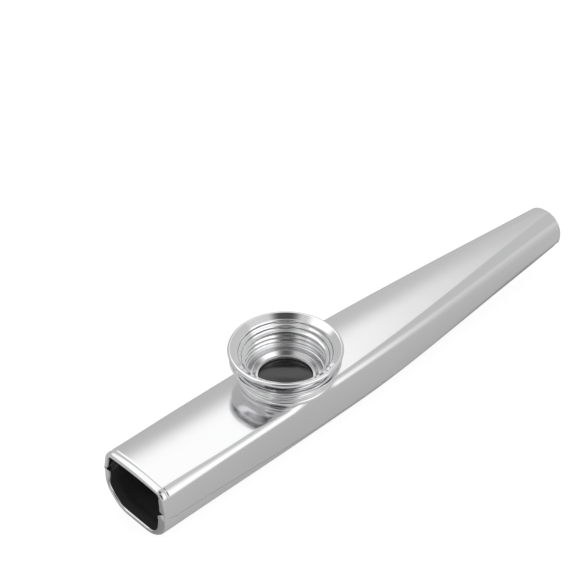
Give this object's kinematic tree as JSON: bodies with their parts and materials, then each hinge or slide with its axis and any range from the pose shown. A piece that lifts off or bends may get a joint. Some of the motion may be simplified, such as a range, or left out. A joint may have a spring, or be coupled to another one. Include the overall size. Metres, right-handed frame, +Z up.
{
  "type": "kazoo",
  "caption": "Metal kazoo: a tapered tube of two pressed shells with a flat deck, and a threaded turret whose flared screw cap clamps a thin membrane.",
  "frame": {"origin": "centre of the bounding box on the plane the kazoo rests on", "axes": "+X from the wide mouth to the narrow round end, +Z up out of the deck and the turret, +Y across the body"},
  "size_m": [0.12, 0.0228, 0.0205],
  "materials": {
    "body_metal": "polished pressed aluminium sheet, bright silver",
    "turret_metal": "mirror polished spun and rolled aluminium",
    "ring_plastic": "moulded, matt",
    "film": "thin glossy film, dark over the hollow body"
  },
  "bodies": {
    "shells": {"upper_shell": "body_metal", "lower_shell": "body_metal", "turret_neck": "turret_metal"},
    "membrane": {"membrane_ring": "ring_plastic", "membrane_film": "film"},
    "cap": {"screw_cap": "turret_metal"}
  },
  "joints": [
    {"name": "cap_lift", "type": "slide", "parent": "shells", "child": "membrane", "axis": [0, 0, 1], "range_m": [0, 0.0033]},
    {"name": "cap_turn", "type": "hinge", "parent": "membrane", "child": "cap", "pos_m": [-0.021, 0, 0.0134], "axis": [0, 0, 1], "range_deg": [0, 1080]}
  ],
  "couplings": [
    {"joint": "cap_turn", "follows": "cap_lift", "rad_per_m": 5712}
  ]
}
